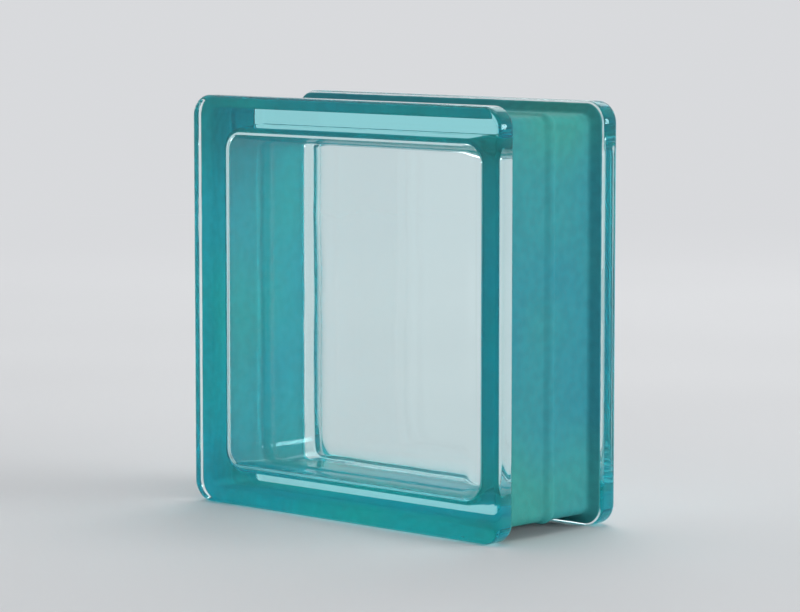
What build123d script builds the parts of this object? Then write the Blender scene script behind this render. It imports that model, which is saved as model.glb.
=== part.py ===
from build123d import *
import os

# Hollow glass block: two pressed glass cups joined rim to rim at half depth, with a coloured
# coat in the groove that runs round the four edges.
# +X is the width, +Y runs from the front pane to the back pane and +Z is up.
# The origin is the middle of the bottom edge, on the surface that the block stands on.
# All sizes are in millimetres and all angles in degrees.

# Outside of the block
face_width = 190.0
face_height = 190.0
block_depth = 80.0

# Glass of the panes and side walls
pane_thickness = 8.0
wall_thickness = 7.5
wall_draft = 3.0

# Groove round the edges, between the lips of the two panes
groove_depth = 6.0
lip_width = 9.0
shoulder_run = 4.5
groove_corner_radius = 4.0

# Rounding of the glass
face_edge_radius = 2.5
lip_edge_radius = 1.5
groove_root_radius = 3.0
cavity_corner_radius = 12.0
cavity_floor_radius = 7.0

# Bead of melted glass where the two rims were pressed together
bead_width = 7.0
outer_bead_height = 1.2
inner_bead_height = 1.6
bead_foot_radius = 1.0

# Coloured coat on the walls of the groove
coat_thickness = 0.5
coat_setback = 1.2

# Places worked out from the sizes
half_depth = block_depth / 2
face_x = face_width / 2
groove_x = face_x - groove_depth
groove_z = face_height / 2 - groove_depth
lip_y = half_depth - lip_width
root_y = lip_y - shoulder_run
section_inner_x = groove_x - groove_corner_radius / 2
cavity_width = 2 * (groove_x - wall_thickness)
cavity_height = 2 * (groove_z - wall_thickness)
cavity_depth = half_depth - pane_thickness

outer_bead_radius = ((bead_width / 2) ** 2 + outer_bead_height**2) / (2 * outer_bead_height)
inner_bead_radius = ((bead_width / 2) ** 2 + inner_bead_height**2) / (2 * inner_bead_height)

# The rims meet in the seam plane, whose own X and Y are the block's width and height.
seam_plane = Plane(origin=(0, 0, face_height / 2), x_dir=(1, 0, 0), z_dir=(0, -1, 0))
# The edge sections are drawn in a level plane at half height, where the outlines start.
section_plane = Plane.XY.offset(face_height / 2)

# Path round the floor of the groove
with BuildLine(seam_plane) as groove_path:
    FilletPolyline(
        (groove_x, 0),
        (groove_x, groove_z),
        (-groove_x, groove_z),
        (-groove_x, 0),
        radius=groove_corner_radius,
    )
    mirror(about=section_plane)

# Path round the mouth of the cavity
with BuildLine(seam_plane) as mouth_path:
    FilletPolyline(
        (cavity_width / 2, 0),
        (cavity_width / 2, cavity_height / 2),
        (-cavity_width / 2, cavity_height / 2),
        (-cavity_width / 2, 0),
        radius=cavity_corner_radius,
    )
    mirror(about=section_plane)

# Section of one cup's edge: half the bead, the groove floor, the shoulder and the lip of the pane
with BuildSketch(section_plane) as edge_section:
    with BuildLine():
        outer_crest = (groove_x + outer_bead_height, 0)
        outer_foot = (groove_x, -bead_width / 2)
        RadiusArc(outer_crest, outer_foot, outer_bead_radius)
        Polyline(
            outer_foot,
            (groove_x, -root_y),
            (face_x, -lip_y),
            (face_x, -half_depth),
            (section_inner_x, -half_depth),
            (section_inner_x, 0),
            outer_crest,
        )
    make_face()
    for corner, corner_radius in (
        ((face_x, -half_depth), face_edge_radius),
        ((face_x, -lip_y), lip_edge_radius),
        ((groove_x, -root_y), groove_root_radius),
        (outer_foot, bead_foot_radius),
    ):
        fillet(edge_section.vertices().sort_by_distance(corner)[0], radius=corner_radius)

# Section of the half bead that stands into the cavity
with BuildSketch(section_plane) as inner_bead_section:
    with BuildLine():
        inner_crest = (cavity_width / 2 - inner_bead_height, 0)
        inner_foot = (cavity_width / 2, -bead_width / 2)
        RadiusArc(inner_crest, inner_foot, -inner_bead_radius)
        Polyline(
            inner_foot,
            (cavity_width / 2 + inner_bead_height, -bead_width / 2),
            (cavity_width / 2 + inner_bead_height, 0),
            inner_crest,
        )
    make_face()

# Section of the coat, which follows both shoulders, the groove floor and the whole bead
with BuildSketch(section_plane) as coat_section:
    add(edge_section.sketch_local)
    mirror(about=Plane.XZ)
    offset(amount=coat_thickness)
    add(edge_section.sketch_local, mode=Mode.SUBTRACT)
    mirror(edge_section.sketch_local, about=Plane.XZ, mode=Mode.SUBTRACT)
    with Locations((groove_x, 0)):
        Rectangle(
            groove_depth - coat_setback,
            2 * lip_y,
            align=(Align.MIN, Align.CENTER),
            mode=Mode.INTERSECT,
        )

with BuildPart() as front_half:
    with BuildSketch(seam_plane):
        RectangleRounded(2 * groove_x, 2 * groove_z, groove_corner_radius)
    extrude(amount=half_depth)
    sweep(sections=edge_section.sketch, path=groove_path.line)
    with BuildSketch(seam_plane):
        RectangleRounded(cavity_width, cavity_height, cavity_corner_radius)
    extrude(amount=cavity_depth, taper=wall_draft, mode=Mode.SUBTRACT)
    cavity_floor = front_half.faces().filter_by(Axis.Y).sort_by(Axis.Y)[1]
    fillet(cavity_floor.outer_wire().edges(), radius=cavity_floor_radius)
    sweep(sections=inner_bead_section.sketch, path=mouth_path.line)
front_half.part.label = "front_half"

with BuildPart() as back_half:
    mirror(front_half.part, about=Plane.XZ)
back_half.part.label = "back_half"

with BuildPart() as edge_coat:
    sweep(sections=coat_section.sketch, path=groove_path.line)
edge_coat.part.label = "edge_coat"

os.makedirs("parts", exist_ok=True)
export_step(front_half.part, "parts/front_half.step")
export_step(back_half.part, "parts/back_half.step")
export_step(edge_coat.part, "parts/edge_coat.step")
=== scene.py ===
import math

import bpy
import numpy as np
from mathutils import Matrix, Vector, noise


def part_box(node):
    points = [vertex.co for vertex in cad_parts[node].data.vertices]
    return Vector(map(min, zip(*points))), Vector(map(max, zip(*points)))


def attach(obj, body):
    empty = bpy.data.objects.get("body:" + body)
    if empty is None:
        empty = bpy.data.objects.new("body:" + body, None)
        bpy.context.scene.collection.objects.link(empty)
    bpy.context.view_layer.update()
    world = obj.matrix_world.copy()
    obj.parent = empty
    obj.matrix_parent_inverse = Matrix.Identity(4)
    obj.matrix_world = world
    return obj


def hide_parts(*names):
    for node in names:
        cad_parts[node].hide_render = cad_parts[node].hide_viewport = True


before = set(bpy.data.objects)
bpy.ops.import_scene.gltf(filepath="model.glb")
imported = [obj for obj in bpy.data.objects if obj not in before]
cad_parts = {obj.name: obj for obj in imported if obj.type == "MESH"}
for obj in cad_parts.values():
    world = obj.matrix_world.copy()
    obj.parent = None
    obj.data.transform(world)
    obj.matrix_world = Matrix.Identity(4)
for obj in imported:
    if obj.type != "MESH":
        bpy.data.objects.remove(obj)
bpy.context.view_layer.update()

# Hollow glass block, standing on its bottom edge with its front pane towards -Y. Lengths are in metres.
MM = 0.001

# Outline of the block, from the frame
low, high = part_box("front_half")
FACE_X = high.x
FACE_Z = (high.z - low.z) / 2
MID_Z = (high.z + low.z) / 2
HALF_DEPTH = -low.y
CENTRE = Vector((0, 0, MID_Z))

# Glass, as the part's source has it, but with beads whose feet run out wider into the walls
PANE_THICKNESS = 8.0 * MM
WALL_THICKNESS = 7.5 * MM
WALL_DRAFT = math.radians(3.0)
GROOVE_DEPTH = 6.0 * MM
LIP_WIDTH = 9.0 * MM
SHOULDER_RUN = 4.5 * MM
BEAD_WIDTH = 9.0 * MM
OUTER_BEAD_HEIGHT = 1.2 * MM
INNER_BEAD_HEIGHT = 1.6 * MM
LIP_Y = HALF_DEPTH - LIP_WIDTH
ROOT_Y = LIP_Y - SHOULDER_RUN

# Rounding of the glass
FACE_EDGE_RADIUS = 2.5 * MM
LIP_EDGE_RADIUS = 1.5 * MM
GROOVE_ROOT_RADIUS = 3.0 * MM
GROOVE_CORNER_RADIUS = 4.0 * MM
FACE_CORNER_RADIUS = GROOVE_CORNER_RADIUS + GROOVE_DEPTH
CAVITY_CORNER_RADIUS = 12.0 * MM
CAVITY_FLOOR_RADIUS = 7.0 * MM

# Where a pane's grid ends: this far in from the block's outline, or from the rounding of the cavity's floor
FACE_RIM = 6.0 * MM
CAVITY_RIM = 1.5 * MM

# Coat in the groove. Its face lies a little way into the glass, so that no air shows between them.
COAT_THICKNESS = 0.5 * MM
COAT_SETBACK = 1.2 * MM
COAT_BOND = 0.06 * MM

# Mesh steps from the middle of a side to its end, and the share of them that the corner takes
GLASS_STEPS = 50
COAT_STEPS = 72
CORNER_SHARE = 0.14
# Power by which a pane's square grid takes up the round corners near its rim
PANE_PULL = 8

# Mesh steps of each stretch of the section lines
FACE_EDGE_STEPS = 7
LIP_EDGE_STEPS = 4
GROOVE_ROOT_STEPS = 5
GROOVE_FLOOR_STEPS = 8
CAVITY_FLOOR_STEPS = 10
CAVITY_WALL_STEPS = 9
GLASS_BEAD_STEPS = 7
COAT_SHOULDER_STEPS = 6
COAT_ROOT_STEPS = 6
COAT_FLOOR_STEPS = 20
COAT_BEAD_STEPS = 8

# Relief of the glass: how far its outside sinks, and how high the waves of its surfaces are
OUTSIDE_SINK = 0.03 * MM
OUTSIDE_WAVE_SHARE = 0.6
PANE_WAVE = 0.09 * MM
WALL_WAVE = 0.07 * MM
SEAM_WAVE = 0.20 * MM
SHORT_WAVE_SHARE = 0.25
# A surface whose normal has more of Y than this is a pane's
PANE_FACING = 0.7
# Inset that lies between the outside of the walls and their inside
WALL_MIDDLE = GROOVE_DEPTH + 3.0 * MM

# Relief of the coat's outside
PEBBLE_HEIGHT = 0.09 * MM
COARSE_PEBBLE_SHARE = 0.8
COAT_WAVE = 0.10 * MM


def rounded(corners):
    """Points of a section line. Each corner is (inset, y, radius, steps), and radius 0 is a plain point."""
    points = []
    for i, (x, y, radius, steps) in enumerate(corners):
        here = np.array((x, y))
        if radius == 0:
            points.append(here)
            continue
        back = np.array(corners[i - 1][:2]) - here
        ahead = np.array(corners[i + 1][:2]) - here
        back /= np.linalg.norm(back)
        ahead /= np.linalg.norm(ahead)
        half_angle = math.acos(np.clip(back @ ahead, -1, 1)) / 2
        middle = back + ahead
        centre = here + middle / np.linalg.norm(middle) * radius / math.sin(half_angle)
        start = here + back * radius / math.tan(half_angle) - centre
        end = here + ahead * radius / math.tan(half_angle) - centre
        turn = math.atan2(start[0] * end[1] - start[1] * end[0], start @ end)
        for k in range(steps + 1):
            c = math.cos(turn * k / steps)
            s = math.sin(turn * k / steps)
            points.append(centre + np.array((c * start[0] - s * start[1], s * start[0] + c * start[1])))
    return points


def run(start, end, steps):
    """Points between two section points, without the ends."""
    return [start + (end - start) * k / steps for k in range(1, steps)]


def bead(base, height, steps):
    """Half a bead of melted glass, from foot to crest in the seam plane. A height below 0 stands inwards."""
    points = []
    for k in range(steps + 1):
        y = -BEAD_WIDTH / 2 * (1 - k / steps)
        swell = height * math.cos(math.pi * y / BEAD_WIDTH) ** 2
        points.append(np.array((base - swell, y)))
    return points


def with_back(front):
    """A front half's section line, followed by its mirror image for the back half."""
    return front + [point * (1, -1) for point in reversed(front[:-1])]


def turned(side, u, v):
    """The point (u, v) of side 0, turned to the same place on any side."""
    return ((u, v), (-v, u), (-u, -v), (v, -u))[side]


def side_size(side, half_x, half_z):
    """How far a rectangle's side lies from its middle, and half the side's length."""
    return (half_x, half_z) if side % 2 == 0 else (half_z, half_x)


def on_outline(side, place, half_x, half_z, corner):
    """A point of a rounded rectangle. The corners take CORNER_SHARE of each side's steps."""
    across, along = side_size(side, half_x, half_z)
    straight = 1 - CORNER_SHARE
    if abs(place) <= straight:
        u = across
        v = (along - corner) * abs(place) / straight
    else:
        angle = (abs(place) - straight) / CORNER_SHARE * math.pi / 4
        u = across - corner + corner * math.cos(angle)
        v = along - corner + corner * math.sin(angle)
    return turned(side, u, math.copysign(v, place))


def ring(steps, half_x, half_z, corner, inset, y):
    """8 * steps points of one ring round the block, inset from the outline that it is given."""
    points = []
    for side in range(4):
        for k in range(-steps, steps):
            x, z = on_outline(side, k / steps, half_x - inset, half_z - inset, corner - inset)
            points.append((x, y, z + MID_Z))
    return points


class Skin:
    """Vertices and faces of a skin made of rings and of the panes that close it."""

    def __init__(self):
        self.points = []
        self.faces = []

    def add_ring(self, points):
        first = len(self.points)
        self.points += points
        return list(range(first, first + len(points)))

    def add_face(self, face, flip):
        self.faces.append(face[::-1] if flip else face)

    def tube(self, rings, flip):
        """Joins each ring to the next, which has as many points."""
        for ring_a, ring_b in zip(rings, rings[1:]):
            count = len(ring_a)
            for k in range(count):
                n = (k + 1) % count
                self.add_face((ring_a[k], ring_a[n], ring_b[n], ring_b[k]), flip)

    def pane(self, outer, half_x, half_z, flip):
        """Fills a ring with a grid, square in the middle and with the ring's round corners at its rim."""
        steps = len(outer) // 8
        y = self.points[outer[0]][1]
        previous = outer
        for level in range(steps - 1, 0, -1):
            share = level / steps
            current = []
            for side in range(4):
                across, along = side_size(side, half_x, half_z)
                for k in range(-level, level):
                    x, z = turned(side, across * share, along * k / steps)
                    rim_x, rim_z = self.between_points(outer, (k / level + 1 + 2 * side) * steps)
                    pull = share**PANE_PULL
                    x += (rim_x * share - x) * pull
                    z += ((rim_z - MID_Z) * share - z) * pull
                    current.append((x, y, z + MID_Z))
            current = self.add_ring(current)
            self.close_level(previous, current, level, flip)
            previous = current
        centre = self.add_ring([(0, y, MID_Z)])[0]
        for k in range(0, len(previous), 2):
            self.add_face((previous[k - 1], previous[k], previous[k + 1], centre), flip)

    def between_points(self, outer, place):
        """X and Z of a place on a ring, counted in its points."""
        before = self.points[outer[int(place) % len(outer)]]
        after = self.points[outer[(int(place) + 1) % len(outer)]]
        mix = place - int(place)
        return before[0] * (1 - mix) + after[0] * mix, before[2] * (1 - mix) + after[2] * mix

    def close_level(self, outer, inner, level, flip):
        """Joins a ring of 8 * (level + 1) points to the next one in, which has 8 * level."""
        wide = 2 * (level + 1)
        narrow = 2 * level
        for side in range(4):
            corner = side * wide
            self.add_face((outer[corner - 1], outer[corner], outer[corner + 1], inner[side * narrow]), flip)
            for k in range(narrow):
                a = outer[corner + 1 + k]
                b = outer[(corner + 2 + k) % len(outer)]
                c = inner[side * narrow + k]
                d = inner[(side * narrow + k + 1) % len(inner)]
                self.add_face((a, b, d, c), flip)


def make_piece(name, skin, cad_nodes):
    """A smooth mesh object that rides on the block and stands for its CAD nodes."""
    mesh = bpy.data.meshes.new(name)
    mesh.from_pydata(skin.points, [], skin.faces)
    mesh.update()
    mesh.shade_smooth()
    piece = bpy.data.objects.new(name, mesh)
    bpy.context.scene.collection.objects.link(piece)
    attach(piece, "root")
    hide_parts(*cad_nodes)
    return piece


def raise_relief(mesh, height):
    """Moves each vertex along its normal by height(point, normal)."""
    moved = []
    for vertex in mesh.vertices:
        normal = vertex.normal.copy()
        moved.append(vertex.co + normal * height(vertex.co, normal))
    for vertex, point in zip(mesh.vertices, moved):
        vertex.co = point
    mesh.update()


def ripple(point, size, seed):
    """Smooth noise from -1 to 1, with waves about twice as long as size."""
    return noise.noise(point / size + Vector((seed, 1.7 * seed, -seed)))


# Glass: both pressed cups as the one body of glass that they become when their rims are joined

def glass_relief(point, normal):
    """Pressed glass is never quite flat. The outside only sinks, so it stays within the block's size."""
    on_pane = abs(normal.y) > PANE_FACING
    if on_pane:
        outside = normal.y * point.y > 0
    else:
        outside = abs(point.x) > FACE_X - WALL_MIDDLE or abs(point.z - MID_Z) > FACE_Z - WALL_MIDDLE
    wave = ripple(point, size=34 * MM, seed=3.1) + SHORT_WAVE_SHARE * ripple(point, size=13 * MM, seed=9.4)
    if outside:
        return -OUTSIDE_SINK * (1 + OUTSIDE_WAVE_SHARE * wave)
    if on_pane:
        return PANE_WAVE * wave
    seam = math.exp(-((point.y / (BEAD_WIDTH / 2)) ** 2))
    return WALL_WAVE * wave + SEAM_WAVE * seam * ripple(point, size=6 * MM, seed=5.5)


def outer_section():
    """Section line of the outside of the front half, from the pane's rim to the seam."""
    edge = rounded(
        [
            (FACE_RIM, -HALF_DEPTH, 0, 0),
            (0.0, -HALF_DEPTH, FACE_EDGE_RADIUS, FACE_EDGE_STEPS),
            (0.0, -LIP_Y, LIP_EDGE_RADIUS, LIP_EDGE_STEPS),
            (GROOVE_DEPTH, -ROOT_Y, GROOVE_ROOT_RADIUS, GROOVE_ROOT_STEPS),
            (GROOVE_DEPTH, -BEAD_WIDTH / 2, 0, 0),
        ]
    )
    groove_floor = run(edge[-2], edge[-1], GROOVE_FLOOR_STEPS)
    return edge[:-1] + groove_floor + bead(GROOVE_DEPTH, OUTER_BEAD_HEIGHT, GLASS_BEAD_STEPS)


def cavity_section():
    """Section line of the front half's cavity, inset from its mouth, from the pane's rim to the seam."""
    slope = math.tan(WALL_DRAFT)
    floor_y = -(HALF_DEPTH - PANE_THICKNESS)
    floor_inset = -floor_y * slope
    wall = rounded(
        [
            (floor_inset + CAVITY_FLOOR_RADIUS + CAVITY_RIM, floor_y, 0, 0),
            (floor_inset, floor_y, CAVITY_FLOOR_RADIUS, CAVITY_FLOOR_STEPS),
            (BEAD_WIDTH / 2 * slope, -BEAD_WIDTH / 2, 0, 0),
        ]
    )
    side_wall = run(wall[-2], wall[-1], CAVITY_WALL_STEPS)
    return wall[:-1] + side_wall + bead(0.0, -INNER_BEAD_HEIGHT, GLASS_BEAD_STEPS)


def make_glass():
    skin = Skin()
    mouth = GROOVE_DEPTH + WALL_THICKNESS
    for section, half_x, half_z, corner, inward in (
        (outer_section(), FACE_X, FACE_Z, FACE_CORNER_RADIUS, False),
        (cavity_section(), FACE_X - mouth, FACE_Z - mouth, CAVITY_CORNER_RADIUS, True),
    ):
        rings = [
            skin.add_ring(ring(GLASS_STEPS, half_x, half_z, corner, inset, y))
            for inset, y in with_back(section)
        ]
        rim_inset = section[0][0]
        pane_size = (half_x - rim_inset, half_z - rim_inset)
        skin.pane(rings[0], *pane_size, flip=inward)
        skin.tube(rings, flip=not inward)
        skin.pane(rings[-1], *pane_size, flip=not inward)
    piece = make_piece("fused_glass", skin, ["front_half", "back_half"])
    raise_relief(piece.data, glass_relief)
    return piece


# Coat: a teal skin in the groove, bonded to the glass, with the pebbled outside of a sprayed coat

def coat_relief(point, normal):
    """The coat's outside is pebbled, and its face on the glass is left smooth."""
    outward = normal.x * point.x + normal.z * (point.z - MID_Z) > 0
    if not outward:
        return 0.0
    coarse = COARSE_PEBBLE_SHARE * ripple(point, size=3.7 * MM, seed=7.0)
    pebble = ripple(point, size=1.6 * MM, seed=2.0) + coarse
    return PEBBLE_HEIGHT * pebble + COAT_WAVE * ripple(point, size=14 * MM, seed=4.0)


def coat_line():
    """Section line of the glass that the coat covers, from the front shoulder to the back one."""
    end_y = LIP_Y - (LIP_Y - ROOT_Y) * COAT_SETBACK / GROOVE_DEPTH
    bond = rounded(
        [
            (COAT_SETBACK, -end_y, 0, 0),
            (GROOVE_DEPTH, -ROOT_Y, GROOVE_ROOT_RADIUS, COAT_ROOT_STEPS),
            (GROOVE_DEPTH, -BEAD_WIDTH / 2, 0, 0),
        ]
    )
    shoulder = [bond[0]] + run(bond[0], bond[1], COAT_SHOULDER_STEPS)
    groove_floor = run(bond[-2], bond[-1], COAT_FLOOR_STEPS)
    half_bead = bead(GROOVE_DEPTH, OUTER_BEAD_HEIGHT, COAT_BEAD_STEPS)
    return with_back(shoulder + bond[1:-1] + groove_floor + half_bead)


def make_coat():
    skin = Skin()
    line = coat_line()
    count = len(line)
    inner = []
    outer = []
    for k, point in enumerate(line):
        tangent = line[min(k + 1, count - 1)] - line[max(k - 1, 0)]
        across = np.array((-tangent[1], tangent[0])) / np.linalg.norm(tangent)
        inner.append(point - across * COAT_BOND)
        outer.append(point + across * COAT_THICKNESS)
    rings = [
        skin.add_ring(ring(COAT_STEPS, FACE_X, FACE_Z, FACE_CORNER_RADIUS, inset, y))
        for inset, y in outer + inner[::-1]
    ]
    skin.tube(rings + rings[:1], flip=True)
    piece = make_piece("teal_coat", skin, ["edge_coat"])
    # The second material is for the side on the glass. Its faces follow those of the outside and of one end.
    band = len(rings[0])
    for face in piece.data.polygons[band * count : band * (2 * count - 1)]:
        face.material_index = 1
    raise_relief(piece.data, coat_relief)
    return piece


glass = make_glass()
coat = make_coat()


# Materials

GLASS_IOR = 1.52
GLASS_COLOUR = (0.985, 0.995, 0.995)
# Bluish reflections keep the pale floor from greying the coat that is seen through the glass
GLASS_REFLECTION = (0.48, 0.87, 0.91)
# Colour inside the glass, which shows where light crosses much of it
GLASS_BODY_COLOUR = (0.0, 0.86, 0.90)
GLASS_BODY_DENSITY = 11.0

# Tones of the coat, from bluer to greener, and the drift at which each is reached
COAT_DRIFT_STOPS = (0.32, 0.52, 0.70)
COAT_BACK_TONES = ((0.028, 0.265, 0.325), (0.036, 0.295, 0.315), (0.042, 0.315, 0.285))
# On the glass it is written lighter than it looks, because the glass in front of it traps light
COAT_FACE_TONES = ((0.010, 0.470, 0.555), (0.012, 0.505, 0.530), (0.015, 0.530, 0.495))


def rgba(colour):
    return (*colour, 1.0)


class Nodes:
    """The node tree of a material or world, with short calls for the nodes that they share."""

    def __init__(self, owner, shader):
        owner.use_nodes = True
        self.owner = owner
        self.tree = owner.node_tree
        self.shader = self.tree.nodes[shader]

    def add(self, kind, **values):
        node = self.tree.nodes.new(kind)
        for name, value in values.items():
            setattr(node, name, value)
        return node

    def link(self, source, target):
        self.tree.links.new(source, target)

    def set(self, **values):
        """Sets sockets of the shader that are the same all over. A name has _ for each space."""
        for name, value in values.items():
            self.shader.inputs[name.replace("_", " ")].default_value = value

    def place(self):
        """Where on its object a point lies."""
        return self.add("ShaderNodeTexCoord").outputs["Object"]

    def texture(self, size, detail):
        """Noise from 0 to 1 whose waves are about size metres long."""
        node = self.add("ShaderNodeTexNoise")
        node.inputs["Scale"].default_value = 1 / size
        node.inputs["Detail"].default_value = detail
        self.link(self.place(), node.inputs["Vector"])
        return node.outputs["Fac"]

    def between(self, source, low, high, low_at=0.3, high_at=0.7):
        """Spreads source from low_at..high_at over low..high."""
        node = self.add("ShaderNodeMapRange", interpolation_type="SMOOTHSTEP")
        for name, value in (("From Min", low_at), ("From Max", high_at), ("To Min", low), ("To Max", high)):
            node.inputs[name].default_value = value
        self.link(source, node.inputs["Value"])
        return node.outputs["Result"]

    def ramp(self, source, stops):
        """Colours for a source, which has each stop's colour at that stop's position."""
        node = self.add("ShaderNodeValToRGB")
        elements = node.color_ramp.elements
        while len(elements) < len(stops):
            elements.new(0.5)
        for element, (position, colour) in zip(elements, stops):
            element.position = position
            element.color = rgba(colour)
        self.link(source, node.inputs["Fac"])
        return node.outputs["Color"]

    def bump(self, source, distance, strength=1.0):
        node = self.add("ShaderNodeBump")
        node.inputs["Distance"].default_value = distance
        node.inputs["Strength"].default_value = strength
        self.link(source, node.inputs["Height"])
        return node.outputs["Normal"]

    def combine(self, operation, first, second):
        """A sum or product that stays within 0 and 1."""
        node = self.add("ShaderNodeMath", operation=operation, use_clamp=True)
        self.link(first, node.inputs[0])
        self.link(second, node.inputs[1])
        return node.outputs["Value"]

    def mix_shaders(self, factor, first, second, output):
        node = self.add("ShaderNodeMixShader")
        self.link(factor, node.inputs["Fac"])
        self.link(first, node.inputs[1])
        self.link(second, node.inputs[2])
        self.link(node.outputs["Shader"], self.tree.nodes[output].inputs["Surface"])

    def seen(self):
        """1 for what is seen, straight, in a reflection or through glass, and 0 for the light on things."""
        rays = self.add("ShaderNodeLightPath").outputs
        in_glass = self.combine("ADD", rays["Is Glossy Ray"], rays["Is Transmission Ray"])
        return self.combine("ADD", rays["Is Camera Ray"], in_glass)


def principled(name):
    return Nodes(bpy.data.materials.new(name), "Principled BSDF")


def glass_finish():
    """Clear pressed glass with a faint aqua body colour."""
    n = principled("clear_pressed_glass")
    n.set(Base_Color=rgba(GLASS_COLOUR), Transmission_Weight=1.0, IOR=GLASS_IOR)
    n.set(Specular_Tint=rgba(GLASS_REFLECTION))
    n.link(n.between(n.texture(size=9 * MM, detail=1), low=0.0, high=0.035), n.shader.inputs["Roughness"])
    n.link(n.bump(n.texture(size=7 * MM, detail=1), distance=0.005 * MM), n.shader.inputs["Normal"])
    body = n.add("ShaderNodeVolumeAbsorption")
    body.inputs["Color"].default_value = rgba(GLASS_BODY_COLOUR)
    body.inputs["Density"].default_value = GLASS_BODY_DENSITY
    n.link(body.outputs["Volume"], n.tree.nodes["Material Output"].inputs["Volume"])
    return n.owner


def coat_nodes(name, tones):
    """Nodes of the matte coat, which drifts from tone to tone and is finely mottled."""
    n = principled(name)
    drift = n.ramp(n.texture(size=70 * MM, detail=1), tuple(zip(COAT_DRIFT_STOPS, tones)))
    mottle = n.add("ShaderNodeMix", data_type="RGBA", blend_type="MULTIPLY")
    mottle.inputs["Factor"].default_value = 1.0
    n.link(drift, mottle.inputs["A"])
    n.link(n.between(n.texture(size=4 * MM, detail=2), low=0.93, high=1.05), mottle.inputs["B"])
    n.link(mottle.outputs["Result"], n.shader.inputs["Base Color"])
    return n


def coat_back_finish():
    """The coat as it is in air, with the fine grain of a sprayed coat."""
    n = coat_nodes("teal_coat_back", COAT_BACK_TONES)
    n.set(Specular_IOR_Level=0.25)
    n.link(n.between(n.texture(size=2 * MM, detail=3), low=0.65, high=0.85), n.shader.inputs["Roughness"])
    grain = n.bump(n.texture(size=0.7 * MM, detail=3), distance=0.12 * MM, strength=0.6)
    n.link(grain, n.shader.inputs["Normal"])
    return n.owner


def coat_face_finish():
    """The coat's face on the glass, which has no gloss of its own there."""
    n = coat_nodes("teal_coat_face", COAT_FACE_TONES)
    n.set(Roughness=0.9, Specular_IOR_Level=0.0)
    return n.owner


glass.data.materials.append(glass_finish())
coat.data.materials.append(coat_back_finish())
coat.data.materials.append(coat_face_finish())
# The CAD nodes aren't shown, and take the finishes of the pieces that stand for them
for node_name, piece in (("front_half", glass), ("back_half", glass), ("edge_coat", coat)):
    for material_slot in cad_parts[node_name].material_slots:
        material_slot.material = piece.data.materials[0]


# Studio: a pale floor that curves up to a backdrop, soft lamps and the camera at the photograph's angle

# Floor, which is flat as far as its radius, turns up beyond it, and lies just under the block
FLOOR_RADIUS = 5.0
FLOOR_RISE = 2.5
FLOOR_TURNS = 96
FLOOR_RISE_STEPS = 16
FLOOR_GAP = 0.2 * MM
FLOOR_TONES = ((0.3, (0.72, 0.725, 0.735)), (0.7, (0.76, 0.765, 0.775)))

# The backdrop's colour, and how far from the block the floor starts and ends its fade into it
BACKDROP = (0.69, 0.70, 0.72)
BACKDROP_FADE = (0.4, 1.8)

WORLD_LIGHT = (0.93, 0.965, 1.0)
WORLD_STRENGTH = 0.28
LIGHT_BOUNCES = 24


def floor_finish():
    """Matte pale floor, which fades into an even backdrop away from the block."""
    n = principled("pale_floor")
    n.set(Roughness=0.8)
    n.link(n.ramp(n.texture(size=0.4, detail=1), FLOOR_TONES), n.shader.inputs["Base Color"])
    backdrop = n.add("ShaderNodeEmission")
    backdrop.inputs["Color"].default_value = rgba(BACKDROP)
    from_block = n.add("ShaderNodeVectorMath", operation="LENGTH")
    n.link(n.place(), from_block.inputs[0])
    fade = n.between(from_block.outputs["Value"], 0, 1, *BACKDROP_FADE)
    n.mix_shaders(
        n.combine("MULTIPLY", n.seen(), fade),
        n.shader.outputs["BSDF"],
        backdrop.outputs["Emission"],
        "Material Output",
    )
    return n.owner


def make_floor():
    """A round floor that turns up at its rim on every side."""
    profile = [(FLOOR_RADIUS / 2, 0.0), (FLOOR_RADIUS, 0.0)]
    for k in range(1, FLOOR_RISE_STEPS + 1):
        angle = k / FLOOR_RISE_STEPS * math.pi / 2
        radius = FLOOR_RADIUS + FLOOR_RISE * math.sin(angle)
        profile.append((radius, FLOOR_RISE * (1 - math.cos(angle))))
    points = []
    for radius, height in profile:
        for k in range(FLOOR_TURNS):
            angle = 2 * math.pi * k / FLOOR_TURNS
            points.append((radius * math.cos(angle), radius * math.sin(angle), height - FLOOR_GAP))
    faces = []
    for row in range(len(profile) - 1):
        near = row * FLOOR_TURNS
        far = near + FLOOR_TURNS
        for k in range(FLOOR_TURNS):
            n = (k + 1) % FLOOR_TURNS
            faces.append((near + k, far + k, far + n, near + n))
    faces.append(tuple(range(FLOOR_TURNS)))
    mesh = bpy.data.meshes.new("floor")
    mesh.from_pydata(points, [], faces)
    mesh.shade_smooth()
    floor = bpy.data.objects.new("floor", mesh)
    bpy.context.scene.collection.objects.link(floor)
    mesh.materials.append(floor_finish())


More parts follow.
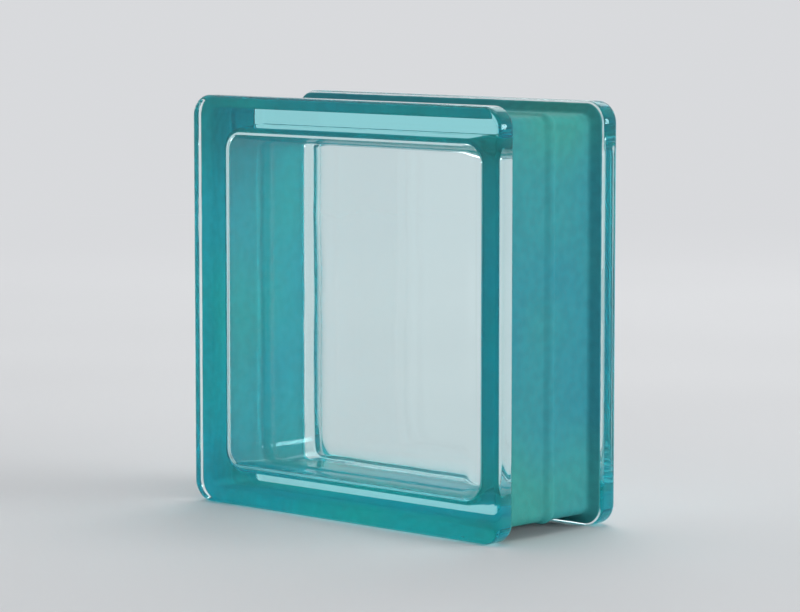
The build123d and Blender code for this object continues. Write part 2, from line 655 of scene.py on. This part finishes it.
def make_world():
    """Soft light from all round. What is seen of it, also in the glass, is the backdrop's colour."""
    n = Nodes(bpy.data.worlds.new("studio"), "Background")
    bpy.context.scene.world = n.owner
    n.set(Color=rgba(WORLD_LIGHT), Strength=WORLD_STRENGTH)
    backdrop = n.add("ShaderNodeBackground")
    backdrop.inputs["Color"].default_value = rgba(BACKDROP)
    n.mix_shaders(
        n.seen(), n.shader.outputs["Background"], backdrop.outputs["Background"], "World Output"
    )


def around(azimuth, elevation, distance):
    """A place seen from the block's centre. Azimuth 0 is in front of the block, and 90 on its right."""
    a = math.radians(azimuth)
    e = math.radians(elevation)
    return CENTRE + distance * Vector((math.sin(a) * math.cos(e), -math.cos(a) * math.cos(e), math.sin(e)))


def aim(thing, target):
    thing.rotation_mode = "QUATERNION"
    thing.rotation_quaternion = (Vector(target) - thing.location).to_track_quat("-Z", "Y")


def add_lamp(name, place, target, size, power):
    lamp = bpy.data.lights.new(name, "AREA")
    lamp.shape = "RECTANGLE"
    lamp.size, lamp.size_y = size
    lamp.energy = power
    thing = bpy.data.objects.new(name, lamp)
    bpy.context.scene.collection.objects.link(thing)
    thing.location = place
    aim(thing, target)


def make_camera():
    camera = bpy.data.cameras.new("camera")
    camera.lens = 150
    camera.sensor_width = 36
    thing = bpy.data.objects.new("camera", camera)
    bpy.context.scene.collection.objects.link(thing)
    bpy.context.scene.camera = thing
    thing.location = around(azimuth=43, elevation=6, distance=1.52)
    aim(thing, CENTRE)


make_floor()
make_world()
low_back = around(azimuth=118, elevation=10, distance=4.4)
add_lamp("low_back", place=low_back, target=CENTRE, size=(3.0, 1.2), power=125)
add_lamp("backdrop", place=(-0.8, 1.3, 1.6), target=(-0.6, 0.7, 0.0), size=(1.6, 1.2), power=13)
add_lamp("top", place=(0.0, 0.3, 4.2), target=CENTRE, size=(3.6, 3.6), power=60)
make_camera()
bpy.context.scene.view_settings.view_transform = "Standard"

cycles = bpy.context.scene.cycles
# Light that enters a lip runs the length of a pane by many inner reflections before it leaves
cycles.max_bounces = LIGHT_BOUNCES
cycles.transmission_bounces = LIGHT_BOUNCES
cycles.glossy_bounces = LIGHT_BOUNCES
# Light that has left the coat crosses smooth glass, which the renderer would else blur and dim
cycles.blur_glossy = 0
# With so few lamps, light sampling is faster without its tree
cycles.use_light_tree = False
